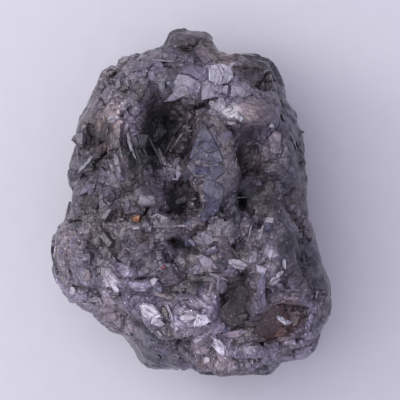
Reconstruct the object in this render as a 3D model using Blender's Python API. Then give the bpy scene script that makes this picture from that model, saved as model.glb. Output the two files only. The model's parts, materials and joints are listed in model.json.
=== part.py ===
"""Rough diamond: a dark polycrystalline stone in one natural piece, lying on its one flat cleavage face.

The body starts as a cube rounded to a sphere. Each point is sent out to the stone's rounded section, drawn
back to the crystal faces and out to the outline's knobs, then moved along its own line from the middle by
hollows, lumps and grain, so the skin never crosses itself. Units are metres, +Z up, +Y along the stone.
"""

import math

import bmesh
import bpy
import numpy as np
from mathutils.kdtree import KDTree

MM = 0.001

# Driving dimensions.
LENGTH = 12.0 * MM
WIDTH = 9.64 * MM
HEIGHT = 7.3 * MM
WAIST = 3.1 * MM  # height of the widest level above the resting face
REST_CUT = 0.4 * MM  # what the cleavage took off the underside

# How the skin is meshed.
CUTS = 84  # divisions of each cube edge before the cube is rounded
TRIANGLES = 9000

# The rounded section: 2 is an ellipse and more is boxier.
TOP_POWER = 2.9
UNDER_POWER = 2.15
# The outline's knobs fade out this far above and below the widest level.
KNOB_REACH = 1.5 * MM
ROUND_PASSES = 1600  # these round the outline off for the levels far from the widest one
KNOB_PASSES = 2  # and these take only the points off its knobs

SEED = 11

# The outline at the widest level, in mm from the middle, anticlockwise from the right.
OUTLINE = (
    (4.05, 0.0), (4.10, 0.60), (3.90, 1.25), (4.00, 1.75), (3.90, 2.25), (3.50, 2.75),
    (3.10, 3.30), (3.10, 4.05), (2.85, 4.55), (2.50, 4.95), (1.60, 5.05), (0.80, 5.30),
    (0.68, 5.68), (0.40, 5.87), (-0.25, 6.00), (-0.68, 5.80), (-0.87, 5.32), (-1.80, 5.20),
    (-2.45, 5.02), (-2.85, 4.60), (-3.35, 3.80), (-3.60, 3.15), (-3.95, 2.75), (-4.07, 2.20),
    (-3.95, 1.65), (-4.15, 1.20), (-4.03, 0.60), (-4.10, 0.00), (-4.12, -0.65), (-4.60, -0.90),
    (-4.82, -1.50), (-4.74, -2.35), (-4.45, -3.10), (-4.10, -3.42), (-3.25, -3.65), (-2.65, -4.35),
    (-2.20, -4.90), (-1.75, -5.40), (-1.20, -5.68), (0.15, -5.75), (0.60, -6.00), (1.80, -5.86),
    (2.75, -5.82), (3.05, -5.40), (3.90, -5.28), (4.25, -5.00), (4.45, -4.25), (4.82, -3.35),
    (4.70, -2.85), (4.50, -2.30), (4.15, -1.40),
)

# Wells and swells of the upper side: x, y, half length, half width (mm), heading of the length
# (degrees from +X) and depth or height (mm).
HOLLOWS = {
    "left_cavity": (-0.55, 2.60, 0.95, 0.62, 110, 1.20),
    "left_cavity_run": (-0.75, 1.25, 1.35, 0.75, 100, 0.85),
    "left_cavity_foot": (-0.15, -0.05, 0.70, 0.50, 20, 0.85),
    "right_cavity": (2.00, 1.75, 0.70, 0.50, 80, 0.75),
    "right_cavity_run": (2.30, 0.75, 1.10, 0.75, 80, 0.60),
    "right_cavity_foot": (1.75, 0.05, 0.50, 0.42, 0, 0.55),
    "left_notch": (-3.05, 1.45, 0.80, 0.45, 70, 0.35),
    "ledge_pit": (-0.15, -1.20, 0.45, 0.28, -20, 0.45),
    "smoky_bed": (1.40, -3.30, 0.85, 0.58, 85, 0.50),
    "amber_bed": (3.00, -4.00, 0.85, 0.60, 20, 0.50),
    "foot_step": (-0.70, -5.00, 2.20, 0.40, -8, 0.30),
    "crown_gap": (0.10, 3.10, 0.60, 0.20, 30, 0.35),
}
LUMPS = {
    "nose_ridge": (0.70, 1.55, 1.25, 0.72, 95, 0.60),
    "nose_root": (1.00, -0.10, 1.10, 0.55, 80, 0.40),
    "top_plateau": (0.30, 4.00, 1.30, 0.70, -5, 0.40),
    "top_right_lump": (2.15, 3.05, 0.75, 0.62, -15, 0.50),
    "top_right_corner": (2.20, 4.45, 0.80, 0.45, -15, 0.30),
    "left_shoulder": (-2.55, 2.90, 1.50, 0.70, 60, 0.30),
    "left_bank": (-2.70, 0.60, 1.20, 0.60, 75, 0.25),
    "low_left_mass": (-2.60, -2.10, 1.80, 1.20, -20, 0.55),
    "low_middle_mass": (-0.40, -3.40, 1.60, 0.90, -15, 0.45),
    "right_bank": (3.05, 1.60, 1.20, 0.50, 95, 0.40),
    "right_swell": (2.70, -1.70, 1.10, 0.85, 80, 0.45),
    "ledge": (-1.10, -0.85, 1.60, 0.30, 3, 0.35),
    "foot_bulge": (1.90, -5.10, 1.00, 0.45, 5, 0.25),
}

# Flat crystal faces: the outward normal's heading and height in degrees, and how deep the face cuts (mm).
FACES = {
    "left_flank": (172, 42, 0.20),
    "upper_left_flank": (138, 38, 0.25),
    "right_flank": (8, 36, 0.18),
    "upper_right_flank": (48, 44, 0.22),
    "low_left_flank": (226, 44, 0.30),
    "low_right_flank": (318, 46, 0.20),
    "foot_flank": (275, 50, 0.18),
    "crown_flank": (98, 48, 0.20),
    "under_left": (196, -42, 0.40),
    "under_right": (5, -46, 0.45),
    "under_foot": (285, -44, 0.50),
    "under_crown": (80, -40, 0.40),
    "under_low_left": (235, -38, 0.30),
}

# Grain: how many crystal cells the skin is broken into, how far each leans and how far it stands out (mm).
GRAINS = {
    "coarse": (150, 0.30, 0.08),
    "medium": (700, 0.34, 0.04),
}
MOST_LEAN = 0.14 * MM  # the most that a leaning face may rise or sink
RIM_CALM = 0.6  # the share of the grain that the widest level is spared, to keep the outline


def rounded_cube():
    """A unit sphere made from a cube with every edge cut alike."""
    mesh = bmesh.new()
    bmesh.ops.create_cube(mesh, size=2.0)
    bmesh.ops.subdivide_edges(mesh, edges=mesh.edges[:], cuts=CUTS - 1, use_grid_fill=True)
    for vert in mesh.verts:
        # The tangent spaces the cuts evenly once they are on the sphere.
        vert.co = [math.tan(value * math.pi / 4) for value in vert.co]
        vert.co.normalize()
    return mesh


def outline_radius(heading, passes):
    """The outline's distance from the middle at each heading, rounded off by that many passes."""
    corners = np.array(OUTLINE) * MM
    angles = np.arctan2(corners[:, 1], corners[:, 0]) % (2 * math.pi)
    order = np.argsort(angles)
    steps = np.linspace(0, 2 * math.pi, 720, endpoint=False)
    radii = np.interp(steps, angles[order], np.hypot(*corners[order].T), period=2 * math.pi)
    for _ in range(passes):
        radii = (np.roll(radii, 1) + radii * 2 + np.roll(radii, -1)) / 4
    return np.interp(heading, steps, radii, period=2 * math.pi)


def body_form(directions):
    """Where the plain body's skin is, for each direction on the unit sphere, around the waist's middle."""
    heading = np.arctan2(directions[:, 1], directions[:, 0])
    rise = directions[:, 2]
    height = np.where(rise > 0, HEIGHT - WAIST, WAIST + REST_CUT) * rise
    power = np.where(rise > 0, TOP_POWER, UNDER_POWER)
    reach = outline_radius(heading, ROUND_PASSES) * (1 - np.abs(rise) ** power) ** (1 / power)
    return np.stack([reach * np.cos(heading), reach * np.sin(heading), height], axis=1)


def add_knobs(points):
    """Draws the levels near the widest one out and in to the outline's knobs and notches."""
    heading = np.arctan2(points[:, 1], points[:, 0])
    knobbed = outline_radius(heading, KNOB_PASSES) / outline_radius(heading, ROUND_PASSES) - 1
    near = np.exp(-((points[:, 2] / KNOB_REACH) ** 2))
    points[:, :2] *= (1 + knobbed * near)[:, None]
    return points


def patch(points, x, y, half_length, half_width, heading):
    """1 in the middle of an oval on the upper side, falling smoothly to 0 outside it."""
    turn = math.radians(heading)
    across, along = points[:, 0] - x * MM, points[:, 1] - y * MM
    u = (across * math.cos(turn) + along * math.sin(turn)) / (half_length * MM)
    v = (along * math.cos(turn) - across * math.sin(turn)) / (half_width * MM)
    upper = np.clip(points[:, 2] / MM, 0, 1)
    return np.exp(-((u * u + v * v) ** 1.5)) * upper


def relief(points):
    """How far the hollows and lumps move each point outwards."""
    moved = np.zeros(len(points))
    for x, y, half_length, half_width, heading, depth in HOLLOWS.values():
        moved -= depth * MM * patch(points, x, y, half_length, half_width, heading)
    for x, y, half_length, half_width, heading, height in LUMPS.values():
        moved += height * MM * patch(points, x, y, half_length, half_width, heading)
    return moved


def grain(points, cells, lean, step, random):
    """How far each crystal cell's tilted face moves the points on it."""
    seeds = points[random.choice(len(points), cells, replace=False)]
    tilts = random.normal(0, lean / 2, (cells, 3))
    steps = random.uniform(-step, step, cells) * MM
    tree = KDTree(cells)
    for index, seed in enumerate(seeds):
        tree.insert(seed, index)
    tree.balance()
    nearest = np.array([tree.find(point)[1] for point in points])
    offset = points - seeds[nearest]
    tilted = (offset * tilts[nearest]).sum(axis=1)
    return np.clip(tilted, -MOST_LEAN, MOST_LEAN) + steps[nearest]


def cut_faces(points):
    """Draws the points past each crystal face back to it, along their own lines from the middle."""
    for heading, rise, depth in FACES.values():
        turn, lift = math.radians(heading), math.radians(rise)
        normal = np.array(
            [math.cos(turn) * math.cos(lift), math.sin(turn) * math.cos(lift), math.sin(lift)]
        )
        level = points @ normal
        limit = np.percentile(level, 99.8) - depth * MM
        past = level > limit
        points[past] *= (limit / level[past])[:, None]
    return points


def rough_skin():
    """The mesh of the stone's whole skin, finer than it needs to be, around the waist's middle."""
    mesh = rounded_cube()
    points = add_knobs(cut_faces(body_form(np.array([vert.co for vert in mesh.verts]))))
    directions = points / np.linalg.norm(points, axis=1)[:, None]
    random = np.random.default_rng(SEED)
    moved = relief(points)
    roughness = 1 - RIM_CALM * np.exp(-((points[:, 2] / KNOB_REACH) ** 2))
    for cells, lean, step in GRAINS.values():
        moved += roughness * grain(points, cells, lean, step, random)
    for vert, point in zip(mesh.verts, points + directions * moved[:, None]):
        vert.co = point
    bmesh.ops.recalc_face_normals(mesh, faces=mesh.faces[:])
    data = bpy.data.meshes.new("rough_skin")
    mesh.to_mesh(data)
    mesh.free()
    return data


def thinned(data):
    """The skin with few triangles on its flat crystal faces and more where it is rough."""
    helper = bpy.data.objects.new("rough_skin", data)
    bpy.context.scene.collection.objects.link(helper)
    thin_out = helper.modifiers.new("thin_out", "DECIMATE")
    thin_out.ratio = TRIANGLES / (2 * len(data.polygons))
    evaluated = helper.evaluated_get(bpy.context.evaluated_depsgraph_get())
    thin = bpy.data.meshes.new_from_object(evaluated)
    bpy.data.objects.remove(helper)
    return thin


def rest_on_cleavage(data):
    """Draws the lowest points up to the flat cleavage face, and fits the stone to its driving dimensions."""
    points = np.array([vert.co for vert in data.vertices])
    past = points[:, 2] < -WAIST
    points[past] *= (-WAIST / points[past, 2])[:, None]
    low, high = points.min(axis=0), points.max(axis=0)
    points = (points - (low + high) / 2) * (np.array([WIDTH, LENGTH, HEIGHT]) / (high - low))
    points[:, 2] += HEIGHT / 2
    data.vertices.foreach_set("co", points.ravel())
    data.update()


def dark_diamond():
    """The stone's plain material: a dark grey stone with a diamond's strong gloss."""
    material = bpy.data.materials.new("dark_diamond")
    material.use_nodes = True
    shader = material.node_tree.nodes["Principled BSDF"]
    shader.inputs["Base Color"].default_value = (0.10, 0.09, 0.12, 1)
    shader.inputs["Roughness"].default_value = 0.3
    shader.inputs["IOR"].default_value = 2.42
    return material


def main():
    for old in list(bpy.data.objects):
        bpy.data.objects.remove(old)
    skin = thinned(rough_skin())
    rest_on_cleavage(skin)
    skin.name = "rough_diamond"
    skin.materials.append(dark_diamond())
    collection = bpy.data.collections.new("rough_diamond")
    bpy.context.scene.collection.children.link(collection)
    collection.objects.link(bpy.data.objects.new("rough_diamond", skin))


main()
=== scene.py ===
"""Rough diamond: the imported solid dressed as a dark, sugary, polycrystalline stone on a pale table.

The solid is remeshed finely, given its wells, ledges and hackly breaks, and then built up with crystals:
small ones sown over the skin by Geometry Nodes, and the large ones placed one by one. All of them are
joined to the stone as one closed skin. The work is done in millimetres and scaled to metres at the end.
"""

import json
import math

import bmesh
import bpy
import numpy as np
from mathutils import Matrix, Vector
from mathutils.bvhtree import BVHTree
from mathutils.geometry import delaunay_2d_cdt
from mathutils.kdtree import KDTree

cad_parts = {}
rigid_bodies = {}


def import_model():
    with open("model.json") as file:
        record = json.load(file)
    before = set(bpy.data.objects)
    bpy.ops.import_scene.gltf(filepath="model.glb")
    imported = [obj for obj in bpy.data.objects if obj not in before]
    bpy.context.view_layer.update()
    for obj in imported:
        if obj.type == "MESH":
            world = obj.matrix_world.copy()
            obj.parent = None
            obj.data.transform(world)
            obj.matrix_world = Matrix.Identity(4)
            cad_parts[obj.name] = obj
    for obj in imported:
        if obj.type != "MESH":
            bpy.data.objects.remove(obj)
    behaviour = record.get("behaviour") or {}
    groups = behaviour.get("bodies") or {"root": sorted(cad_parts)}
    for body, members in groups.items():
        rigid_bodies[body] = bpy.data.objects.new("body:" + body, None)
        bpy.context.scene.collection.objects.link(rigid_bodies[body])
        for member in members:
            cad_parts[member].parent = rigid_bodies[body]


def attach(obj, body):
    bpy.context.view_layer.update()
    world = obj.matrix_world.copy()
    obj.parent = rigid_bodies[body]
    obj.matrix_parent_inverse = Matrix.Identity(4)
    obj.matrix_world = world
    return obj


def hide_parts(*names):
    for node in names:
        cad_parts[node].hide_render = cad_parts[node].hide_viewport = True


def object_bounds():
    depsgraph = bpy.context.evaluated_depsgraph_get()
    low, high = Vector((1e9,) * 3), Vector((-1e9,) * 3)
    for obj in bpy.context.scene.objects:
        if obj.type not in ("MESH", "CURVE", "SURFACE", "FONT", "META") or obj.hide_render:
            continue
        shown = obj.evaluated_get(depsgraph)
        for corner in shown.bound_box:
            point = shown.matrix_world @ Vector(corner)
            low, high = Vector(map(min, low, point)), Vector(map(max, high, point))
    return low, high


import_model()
CAD_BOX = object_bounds()

MM = 0.001
SEED = 5

# ---------------------------------------------------------------------------------------------------
# Colours, as linear red, green and blue
# ---------------------------------------------------------------------------------------------------

TONES = {
    "grey": (0.075, 0.067, 0.086),
    # dark: painted shade where it is put in gaps, pits and hollows, and the dark of cracks
    "dark": (0.014, 0.012, 0.020),
    "lavender": (0.175, 0.160, 0.212),
    "slate": (0.084, 0.080, 0.130),
    "frost": (0.320, 0.298, 0.330),
    # white: white crystals, and the glint crystals that are painted highlights
    "white": (0.475, 0.470, 0.480),
    "pale": (0.320, 0.298, 0.312),
    "beige": (0.225, 0.185, 0.180),
    "brown": (0.110, 0.082, 0.082),
    "olive": (0.022, 0.014, 0.012),
    "amber": (0.066, 0.036, 0.030),
    "tan": (0.250, 0.180, 0.155),
    "honey": (0.125, 0.062, 0.040),
    "rose": (0.200, 0.160, 0.190),
    "orange": (0.450, 0.180, 0.050),
    "red": (0.260, 0.050, 0.080),
}
# The dark parts of the stone and its pale parts, each with a cool and a browner tone.
DARK_GLASS = ((0.046, 0.040, 0.052, 1), (0.058, 0.045, 0.045, 1))
PALE_GLASS = ((0.232, 0.213, 0.280, 1), (0.212, 0.177, 0.188, 1))
# Painted sparkles: the colour of small bright specks that stand in for glints.
PAINTED_SPARKLES = (0.56, 0.54, 0.60, 1)

# ---------------------------------------------------------------------------------------------------
# The stone's own places, in mm from its middle seen from above
# ---------------------------------------------------------------------------------------------------

# Wells and swells: x, y, half length, half width, heading of the length in degrees, how far down or up.
WELLS = {
    "left_cavity": (-1.10, 2.20, 1.15, 0.75, 75, 1.00),
    "left_cavity_foot": (-0.35, 0.25, 0.60, 0.42, 80, 0.35),
    "right_cavity": (1.80, 1.75, 0.75, 0.50, 85, 0.42),
    "right_cavity_foot": (1.55, -0.25, 0.45, 0.35, 60, 0.35),
    "left_slot": (-3.20, 1.20, 0.55, 0.16, 50, 0.35),
    "ledge_pit": (-0.35, -1.35, 0.45, 0.22, -20, 0.45),
    "ledge_pit_right": (0.10, -1.10, 0.22, 0.18, 0, 0.30),
    "smoky_window": (1.50, -3.45, 0.95, 0.60, 85, 0.36),
    "smoky_head": (1.80, -2.65, 0.40, 0.20, 90, 0.30),
    "amber_window": (2.85, -4.10, 0.90, 0.66, 15, 0.28),
    "crown_gap": (0.25, 3.20, 0.60, 0.14, 25, 0.30),
    "nub_foot": (-0.35, 5.05, 0.35, 0.20, 20, 0.12),
    "mid_left_gap": (-2.10, 0.30, 0.40, 0.22, 20, 0.30),
    "low_gap": (-1.75, -2.50, 0.55, 0.14, 0, 0.30),
    "low_gap_right": (0.35, -2.90, 0.35, 0.20, 90, 0.25),
}
SWELLS = {
    "nose": (0.55, 1.75, 0.95, 0.50, 95, 0.40),
    "nose_root": (0.65, 0.00, 0.95, 0.36, 80, 0.45),
    "crown_plate": (0.05, 3.95, 0.80, 0.45, 10, 0.20),
    "honey_lump": (2.05, 2.98, 0.62, 0.50, -15, 0.50),
    "crown_knob": (2.05, 4.75, 0.60, 0.28, 0, 0.30),
    "nub": (-0.10, 5.60, 0.65, 0.38, 0, 0.35),
    "left_knob": (-3.75, 2.35, 0.45, 0.28, 85, 0.25),
    "left_lump": (-1.75, 3.65, 0.50, 0.35, 20, 0.20),
    "ledge": (-0.90, -0.80, 1.35, 0.12, 2, 0.22),
    "amber_sill": (2.60, -4.95, 1.40, 0.20, 3, 0.30),
    "right_wall": (3.30, 1.90, 1.20, 0.25, 100, 0.25),
}

# Places where the outline is drawn in or out: x, y, reach along x and y, moved along x and y.
PULLS = {
    "right_flank": (4.40, -0.30, 0.90, 1.50, -0.36, 0.00),
    "left_waist": (-4.40, 0.10, 0.60, 1.00, 0.17, 0.00),
    "nub_neck_right": (1.20, 5.40, 0.45, 0.60, 0.00, -0.26),
    "nub_neck_left": (-1.10, 5.30, 0.28, 0.50, 0.00, -0.10),
    "nub_corner": (-0.62, 5.80, 0.25, 0.50, -0.06, 0.14),
    "nub_corner_right": (0.55, 5.75, 0.22, 0.50, 0.06, 0.10),
}

# Places that stay smoother and carry fewer crystals: x, y, half length, half width, heading, how smooth.
SMOOTH_PLACES = {
    "smoky_window": (1.45, -3.45, 0.95, 0.62, 85, 1.0),
    "amber_window": (2.90, -4.10, 0.95, 0.72, 15, 1.0),
    "crown_run": (0.95, 4.98, 1.10, 0.35, -20, 0.8),
    "nub": (-0.10, 5.55, 1.00, 0.60, 0, 0.7),
    "honey_lump": (2.05, 2.98, 0.60, 0.55, -10, 0.9),
    "shoulder": (-2.60, 2.60, 0.80, 0.60, 60, 0.6),
    "right_wall": (3.50, 1.90, 1.60, 0.50, -70, 0.9),
    "low_left": (-1.70, -4.80, 1.20, 0.45, -25, 0.8),
    "crown_knob": (2.05, 4.78, 0.70, 0.30, 0, 0.9),
    "crown_plates": (0.10, 3.95, 0.75, 0.50, 10, 0.9),
    "nose": (0.40, 1.80, 0.95, 0.75, 95, 1.0),
    "left_knob": (-3.95, 2.30, 0.55, 0.35, 85, 0.7),
    "crown_rim": (1.30, 5.30, 0.70, 0.30, -15, 1.0),
    "belt_right": (2.30, 0.60, 0.80, 0.50, 0, 0.6),
}

# Painted shade in the hollows and other dark places: x, y, half length, half width, heading, how dark.
PAINTED_GLOOM = {
    "left_cavity": (-1.00, 2.60, 0.95, 0.80, 60, 1.0),
    "left_cavity_run": (-1.45, 1.60, 0.90, 0.85, 90, 0.85),
    "left_cavity_foot": (-0.45, 0.35, 0.75, 0.42, 80, 0.7),
    "left_cavity_rim": (-0.15, 3.15, 0.60, 0.22, 15, 0.7),
    "right_cavity": (1.85, 1.75, 0.90, 0.50, 80, 0.65),
    "right_cavity_foot": (1.50, -0.25, 0.50, 0.32, 75, 0.8),
    "belt_right": (2.30, 0.90, 0.80, 0.40, 0, 0.6),
    "ledge_pit": (-0.35, -1.45, 0.50, 0.24, -20, 0.9),
    "ledge_pit_right": (0.10, -1.12, 0.20, 0.18, 0, 0.9),
    "left_slot": (-3.20, 1.20, 0.50, 0.16, 50, 0.8),
    "low_gap": (-1.75, -2.50, 0.55, 0.12, 0, 0.8),
    "low_gap_right": (0.20, -2.85, 0.45, 0.22, 90, 0.6),
    "smoky_head": (1.80, -2.70, 0.45, 0.20, 90, 0.6),
    "right_flank": (3.55, 1.20, 2.60, 0.75, -78, 0.50),
    "middle_left": (-1.60, 1.00, 1.30, 1.20, 60, 0.50),
    "right_belt": (2.30, 0.70, 1.30, 1.30, 0, 0.55),
    "right_hip": (3.20, -1.35, 0.55, 0.45, 0, 0.8),
    "shoulder": (-2.95, 2.25, 0.80, 0.50, 80, 0.75),
    "nose": (0.50, 1.65, 0.95, 0.60, 95, 0.45),
    "olive_blade": (1.15, 2.10, 0.60, 0.30, -68, 0.55),
    "left_bank": (-3.55, 0.90, 0.60, 0.40, 60, 0.45),
    "smoky_window": (1.50, -3.45, 0.90, 0.55, 85, 0.55),
    "amber_window": (2.80, -4.15, 0.80, 0.55, 15, 0.50),
    "low_right": (3.40, -1.90, 1.60, 0.90, -60, 0.50),
}

# Stains that soak the skin, and painted shade, later ones over earlier ones: x, y, half length, half width,
# heading, tone, strength. The first rows are the dull skin around the brightest crystals, then painted
# shade in the gaps between shards.
DULL_SURROUNDINGS = (
    (0.35, -3.85, 0.80, 0.50, 0, "grey", 0.75),
    (-1.35, -3.70, 0.85, 0.55, -40, "grey", 0.65),
    (0.90, -4.80, 0.65, 0.50, 0, "grey", 0.6),
    (-2.65, -2.50, 0.75, 0.50, -55, "grey", 0.5),
    (2.75, -2.00, 0.60, 0.50, 0, "grey", 0.5),
)
PAINTED_SHADE_GAPS = (
    (1.00, -2.02, 0.30, 0.22, 20, "dark", 0.9),
    (1.80, -2.38, 0.36, 0.20, 0, "dark", 0.9),
    (0.30, -2.58, 0.32, 0.22, 60, "dark", 0.85),
    (1.60, -1.45, 0.26, 0.20, 80, "dark", 0.85),
    (2.35, -1.40, 0.28, 0.18, 50, "dark", 0.8),
    (-0.95, -1.75, 0.42, 0.26, 10, "dark", 0.8),
    (-2.10, -1.95, 0.38, 0.24, 40, "dark", 0.8),
    (-0.30, -2.95, 0.36, 0.20, -20, "dark", 0.8),
    (-0.20, -4.85, 0.42, 0.26, -50, "dark", 0.8),
    (1.55, -5.05, 0.38, 0.24, 60, "dark", 0.75),
    (-3.10, -2.75, 0.40, 0.16, 70, "dark", 0.7),
    (-2.00, -2.95, 0.36, 0.20, 0, "dark", 0.7),
)
STAINS_AND_SHADE = {
    "sugar": (1.24, 3.04, 0.72, 0.28, -25, "white", 0.85),
    "left_shoulder": (-2.85, 2.35, 1.10, 0.60, 75, "tan", 0.85),
    "crown_plates": (0.30, 3.95, 1.20, 0.60, 5, "lavender", 0.7),
    # painted shade along the run of the left cavity
    "cavity_run": (-1.55, 1.50, 0.90, 0.62, 95, "dark", 0.75),
    "left_shoulder_up": (-2.10, 3.50, 0.90, 0.55, 30, "brown", 0.55),
    "crown_run": (0.85, 5.00, 1.30, 0.42, -22, "tan", 0.85),
    "crown_right": (2.00, 4.55, 0.80, 0.40, -10, "olive", 0.65),
    "nub": (-0.10, 5.55, 0.90, 0.60, 0, "brown", 0.9),
    "honey_lump": (2.05, 2.98, 0.70, 0.60, -10, "tan", 0.7),
    "left_bank": (-3.40, 0.10, 0.70, 0.45, 0, "olive", 0.5),
    "belt_right": (2.40, 0.20, 1.10, 0.80, 0, "olive", 0.6),
    "low_left": (-4.20, -2.20, 0.60, 0.80, 60, "brown", 0.4),
    "low_left_pink": (-3.60, -1.40, 0.90, 0.45, -10, "rose", 0.35),
    "smoky_window": (1.45, -3.40, 1.00, 0.60, 85, "olive", 0.85),
    "amber_light": (3.35, -3.85, 0.40, 0.30, -50, "tan", 0.6),
    "amber_window": (2.90, -4.05, 1.05, 0.80, 25, "amber", 0.95),
    "amber_upper": (3.30, -3.50, 0.60, 0.50, 60, "amber", 0.5),
    # the rows below paint shade into the cavities and the ledge pit
    "left_cavity": (-0.95, 2.50, 0.85, 0.62, 65, "dark", 0.85),
    "left_cavity_foot": (-0.45, 0.20, 0.80, 0.50, 80, "dark", 0.7),
    "right_cavity": (1.80, 1.60, 0.95, 0.55, 80, "dark", 0.35),
    "ledge_pit": (-0.30, -1.40, 0.50, 0.25, -20, "dark", 0.7),
}

# How light the stone is from place to place, 1 being its usual tone; this is its own tone and painted light
# and shade together: x, y, lightness.
TONE_AND_PAINTED_LIGHT = (
    (-2.8, 2.3, 0.25), (-2.4, 3.0, 3.8), (-1.9, 3.5, 0.8), (-3.3, 3.4, 1.2), (-1.8, 4.6, 2.0),
    (-0.2, 5.6, 0.7), (0.3, 5.2, 1.0), (0.9, 4.95, 1.3), (2.1, 4.75, 0.5), (-0.3, 3.9, 0.6),
    (1.0, 4.2, 2.8), (0.8, 3.65, 1.3), (1.65, 3.7, 2.1), (1.3, 3.0, 2.0), (2.2, 2.9, 1.1),
    (2.8, 1.9, 1.1), (3.6, 1.6, 0.6), (3.9, -0.5, 1.2), (1.15, 2.0, 0.3), (0.5, 1.8, 1.0),
    (0.5, 1.1, 0.75), (0.8, 0.2, 0.8), (-0.4, 0.4, 1.4), (1.8, 1.7, 3.2), (2.3, 0.5, 0.8),
    (-1.4, 0.1, 0.75), (-3.4, 0.1, 0.95), (-3.4, 0.9, 0.8), (-4.1, -1.6, 2.6), (-4.2, -2.6, 2.4),
    (-3.0, -1.6, 0.5), (-1.2, -1.5, 1.2), (-2.1, -0.9, 0.9), (0.5, -1.2, 1.1), (0.9, -1.9, 1.8),
    (2.0, -1.4, 1.0), (3.2, -1.4, 0.2), (3.9, -2.6, 0.5), (2.65, -1.7, 3.0), (2.35, -2.8, 1.7),
    (3.6, -3.7, 4.4), (4.4, -3.8, 0.7), (-1.35, -3.65, 2.9), (-2.65, -2.5, 3.4), (0.35, -3.9, 5.0),
    (0.9, -4.8, 4.6), (2.2, -4.9, 1.6), (-1.3, -5.0, 0.85), (-2.2, -3.8, 2.3), (3.2, -4.9, 2.8),
    (-0.4, -2.4, 1.2),
)
TONE_AND_PAINTED_LIGHT_REACH = 0.55  # mm
USUAL_WEIGHT = 0.08  # how much the usual tone counts beside those places

# The way the streaks run over the body: the middle of each region and its heading.
RUNS = (
    (-3.6, 3.2, 60), (-2.9, 2.3, 80), (-2.0, 3.6, 35), (-1.6, 4.7, 15), (-0.2, 5.5, 80), (0.0, 4.9, -15),
    (1.3, 4.9, -20), (2.2, 4.5, -60), (0.0, 3.9, 10), (1.2, 3.9, 80), (2.1, 3.0, -30), (3.2, 3.3, -65),
    (3.6, 1.6, -70), (2.6, 2.0, 70), (1.7, 2.0, 60), (0.9, 2.3, -70), (0.3, 1.7, 10), (-0.5, 2.8, 50),
    (-1.1, 2.0, -72), (-1.9, 1.8, 80), (-2.5, 1.1, -65), (-3.5, 0.9, 45), (-3.4, -0.1, 5),
    (-2.1, -0.1, 80), (-1.2, 0.1, 0), (-0.3, 0.6, 75), (0.8, 0.2, 80), (1.6, 0.4, 40), (2.4, 0.6, 5),
    (3.3, 0.0, -70), (-3.9, -1.4, -35), (-2.6, -1.2, 80), (-1.2, -1.2, 10), (0.3, -1.2, -30),
    (1.4, -1.3, 60), (2.2, -1.1, 80), (3.4, -1.3, -65), (-4.3, -2.6, -60), (-3.0, -2.3, -55),
    (-1.6, -2.2, 20), (-0.3, -2.1, -25), (0.9, -2.5, -30), (2.3, -2.4, 85), (3.1, -2.4, 40),
    (4.0, -2.6, -60), (-2.6, -3.6, 20), (-1.4, -3.5, -45), (-0.2, -3.2, -30), (0.4, -4.0, -20),
    (1.4, -3.3, 85), (2.9, -4.0, 25), (4.2, -3.8, 70), (-2.0, -4.5, -40), (-0.9, -4.6, -20),
    (0.8, -4.8, -65), (1.9, -4.6, 10), (2.1, -5.3, 80), (3.3, -5.0, 5),
)
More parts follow.
